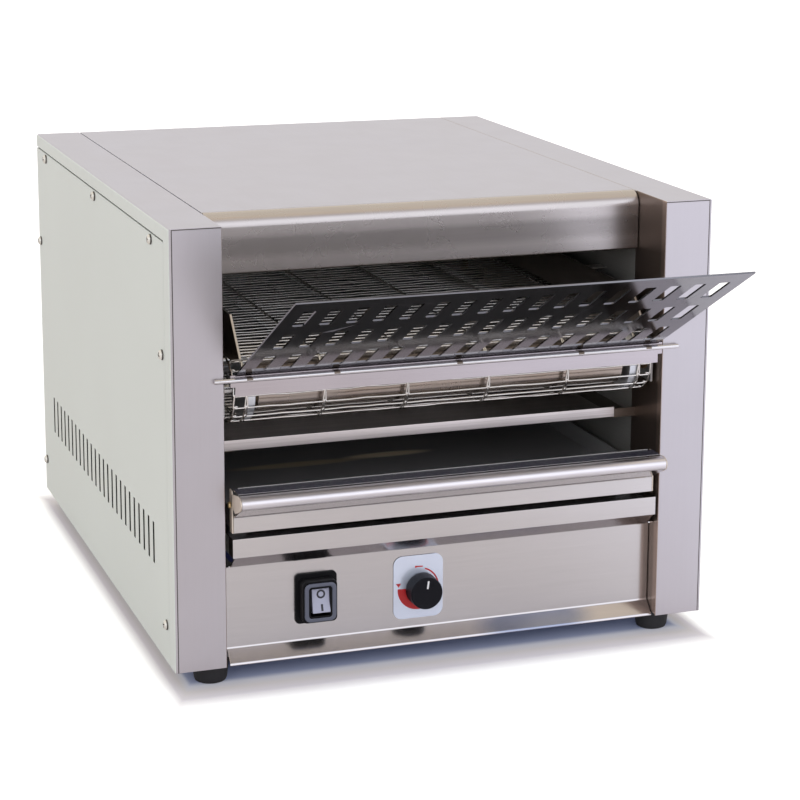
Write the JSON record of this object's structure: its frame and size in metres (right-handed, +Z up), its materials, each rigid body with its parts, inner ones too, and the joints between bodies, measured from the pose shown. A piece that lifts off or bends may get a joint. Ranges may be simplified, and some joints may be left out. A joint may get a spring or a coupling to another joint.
{
  "type": "conveyor toaster",
  "caption": "Countertop conveyor toaster: a wire belt takes bread from a sloping slotted chute past heating elements and drops it to a pull-out tray.",
  "frame": {"origin": "middle of the bounding box on the plane of the feet", "axes": "+X to the right seen from the front, +Y to the back, +Z up"},
  "size_m": [0.4818, 0.7464, 0.387],
  "materials": {
    "stainless": "satin brushed",
    "panel_paint": "smooth semi-matt",
    "screw_steel": "bright",
    "galvanised": "dull grey sheet",
    "brass": "plain",
    "black_plastic": "fine satin",
    "rubber": "matt",
    "hot_steel": "heat-tinted",
    "chute_steel": "brushed",
    "element": "oxidised sheath",
    "ceramic": "unglazed ceramic",
    "bronze": "sintered",
    "wire": "drawn bright",
    "roller_steel": "heat-tinted",
    "wheel": "pale satin",
    "dark_steel": "oiled",
    "motor_paint": "matt",
    "splash_frame": "clear grey",
    "rocker_plastic": "gloss",
    "dial_print": "printed film"
  },
  "bodies": {
    "cabinet": {"left_frame": "stainless", "right_frame": "stainless", "left_side_panel": "panel_paint", "right_side_panel": "panel_paint", "side_panel_screws": "screw_steel", "top_panel": "stainless", "front_hood": "stainless", "back_panel": "galvanised", "back_panel_screws": "screw_steel", "cable_gland": "black_plastic", "base_pan": "galvanised", "feet": "rubber", "left_inner_wall": "hot_steel", "right_inner_wall": "hot_steel", "ceiling_reflector": "hot_steel", "upper_elements": "element", "lower_elements": "element", "upper_element_holders": "ceramic", "lower_element_holders": "ceramic", "left_rail": "galvanised", "right_rail": "galvanised", "roller_bushes": "bronze", "cross_ties": "screw_steel", "belt_runners": "galvanised", "belt_carrying_run": "wire", "belt_return_run": "wire", "belt_turns": "wire", "gearmotor": "motor_paint", "motor_bracket": "galvanised", "drive_chain": "dark_steel", "left_guide": "hot_steel", "right_guide": "hot_steel", "heat_shield": "stainless", "shield_supports": "galvanised", "toast_slide": "hot_steel", "exit_deck": "stainless", "tray_runners": "galvanised", "chute_pegs": "screw_steel", "control_panel": "stainless", "switch_housing": "black_plastic", "switch_frame": "splash_frame", "dial_plate": "dial_print", "regulator": "black_plastic", "terminal_block": "ceramic"},
    "front_roller": {"front_shaft": "screw_steel", "front_roller": "roller_steel", "front_belt_wheels": "wheel"},
    "rear_drive": {"rear_shaft": "screw_steel", "rear_belt_wheels": "wheel", "shaft_sprocket": "dark_steel"},
    "motor_output": {"motor_shaft": "screw_steel", "motor_sprocket": "dark_steel"},
    "knob": {"control_knob": "black_plastic", "knob_spindle": "screw_steel"},
    "switch_rocker": {"rocker": "rocker_plastic"},
    "tray": {"tray_pan": "stainless", "tray_handle": "stainless", "tray_screws": "brass"},
    "chute": {"chute_plate": "chute_steel", "chute_rod": "stainless"}
  },
  "joints": [
    {"name": "rear_drive_spin", "type": "hinge", "parent": "cabinet", "child": "rear_drive", "pos_m": [0, 0.27073, 0.2463], "axis": [-1, 0, 0], "continuous": true},
    {"name": "front_roller_spin", "type": "hinge", "parent": "cabinet", "child": "front_roller", "pos_m": [0, -0.17027, 0.2463], "axis": [-1, 0, 0], "continuous": true},
    {"name": "motor_spin", "type": "hinge", "parent": "cabinet", "child": "motor_output", "pos_m": [0.19, 0.23923, 0.079], "axis": [-1, 0, 0], "continuous": true},
    {"name": "knob_turn", "type": "hinge", "parent": "cabinet", "child": "knob", "pos_m": [-0.0185, -0.19077, 0.0613], "axis": [0, 1, 0], "range_deg": [0, 300]},
    {"name": "rocker_tip", "type": "hinge", "parent": "cabinet", "child": "switch_rocker", "pos_m": [-0.1125, -0.19077, 0.0642], "axis": [1, 0, 0], "range_deg": [0, 24]},
    {"name": "tray_pull", "type": "slide", "parent": "cabinet", "child": "tray", "axis": [0, -1, 0], "range_m": [0, 0.3]},
    {"name": "chute_lift", "type": "slide", "parent": "cabinet", "child": "chute", "axis": [0, 0, 1], "range_m": [0, 0.1]}
  ],
  "couplings": [
    {"joint": "front_roller_spin", "follows": "rear_drive_spin", "ratio": 1},
    {"joint": "motor_spin", "follows": "rear_drive_spin", "ratio": 1}
  ]
}
